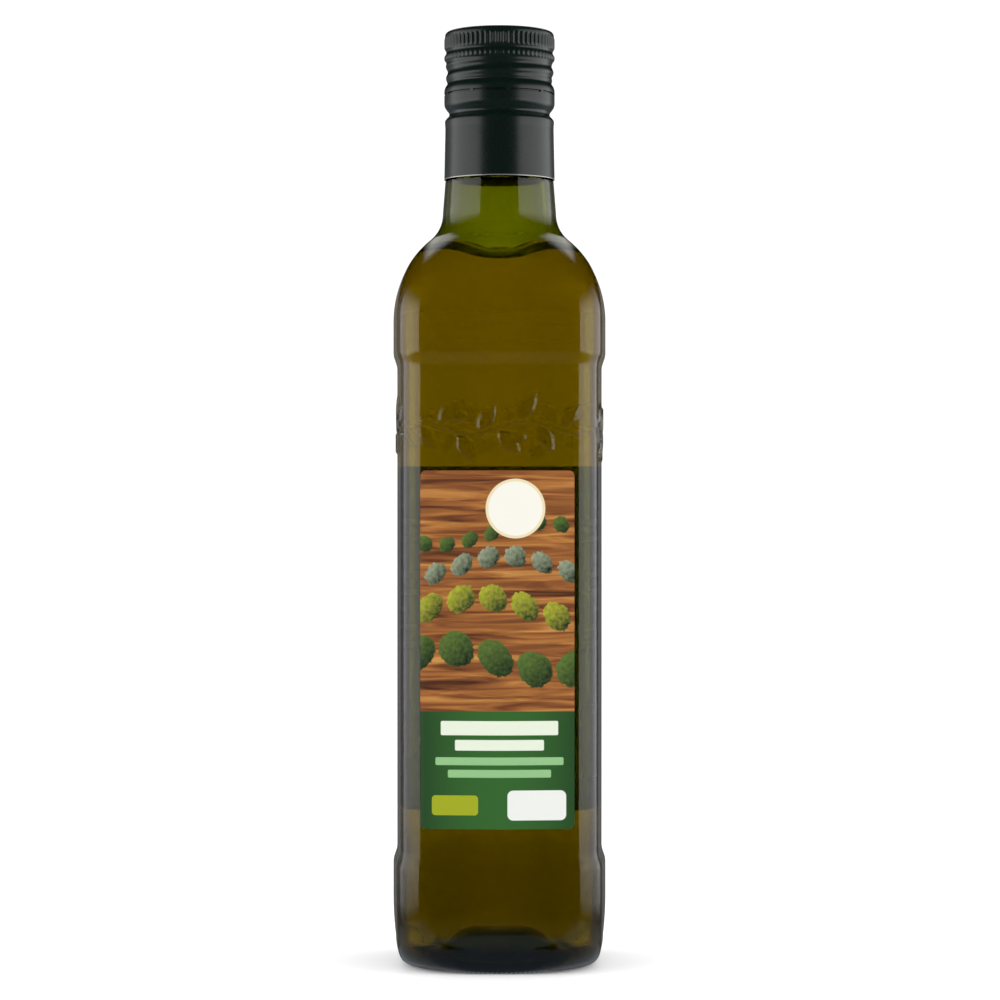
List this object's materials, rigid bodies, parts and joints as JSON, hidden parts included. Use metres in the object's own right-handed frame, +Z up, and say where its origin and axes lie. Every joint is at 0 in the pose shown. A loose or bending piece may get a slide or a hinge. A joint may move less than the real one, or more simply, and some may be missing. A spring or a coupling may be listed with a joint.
{
  "type": "olive oil bottle",
  "caption": "Shut green glass bottle filled with olive oil, square-bodied with a round neck and foot, labels in a shallow panel and a long-skirted metal closure.",
  "frame": {"origin": "middle of the foot, on the surface that the bottle stands on", "axes": "+Z up along the bottle, -Y out of the front label, +X to the right of the front label"},
  "size_m": [0.0614, 0.0614, 0.269],
  "materials": {
    "green_glass": "clear dark olive green glass, smooth and glossy",
    "olive_oil": "clear golden green oil",
    "lacquered_metal": "matt black-green lacquer on thin aluminium, bare metal at the cut edge",
    "front_paper": "printed coated paper, satin",
    "back_paper": "printed coated paper, satin"
  },
  "bodies": {
    "root": {"bottle": "green_glass", "oil": "olive_oil", "closure": "lacquered_metal", "front_label": "front_paper", "back_label": "back_paper"}
  },
  "joints": []
}
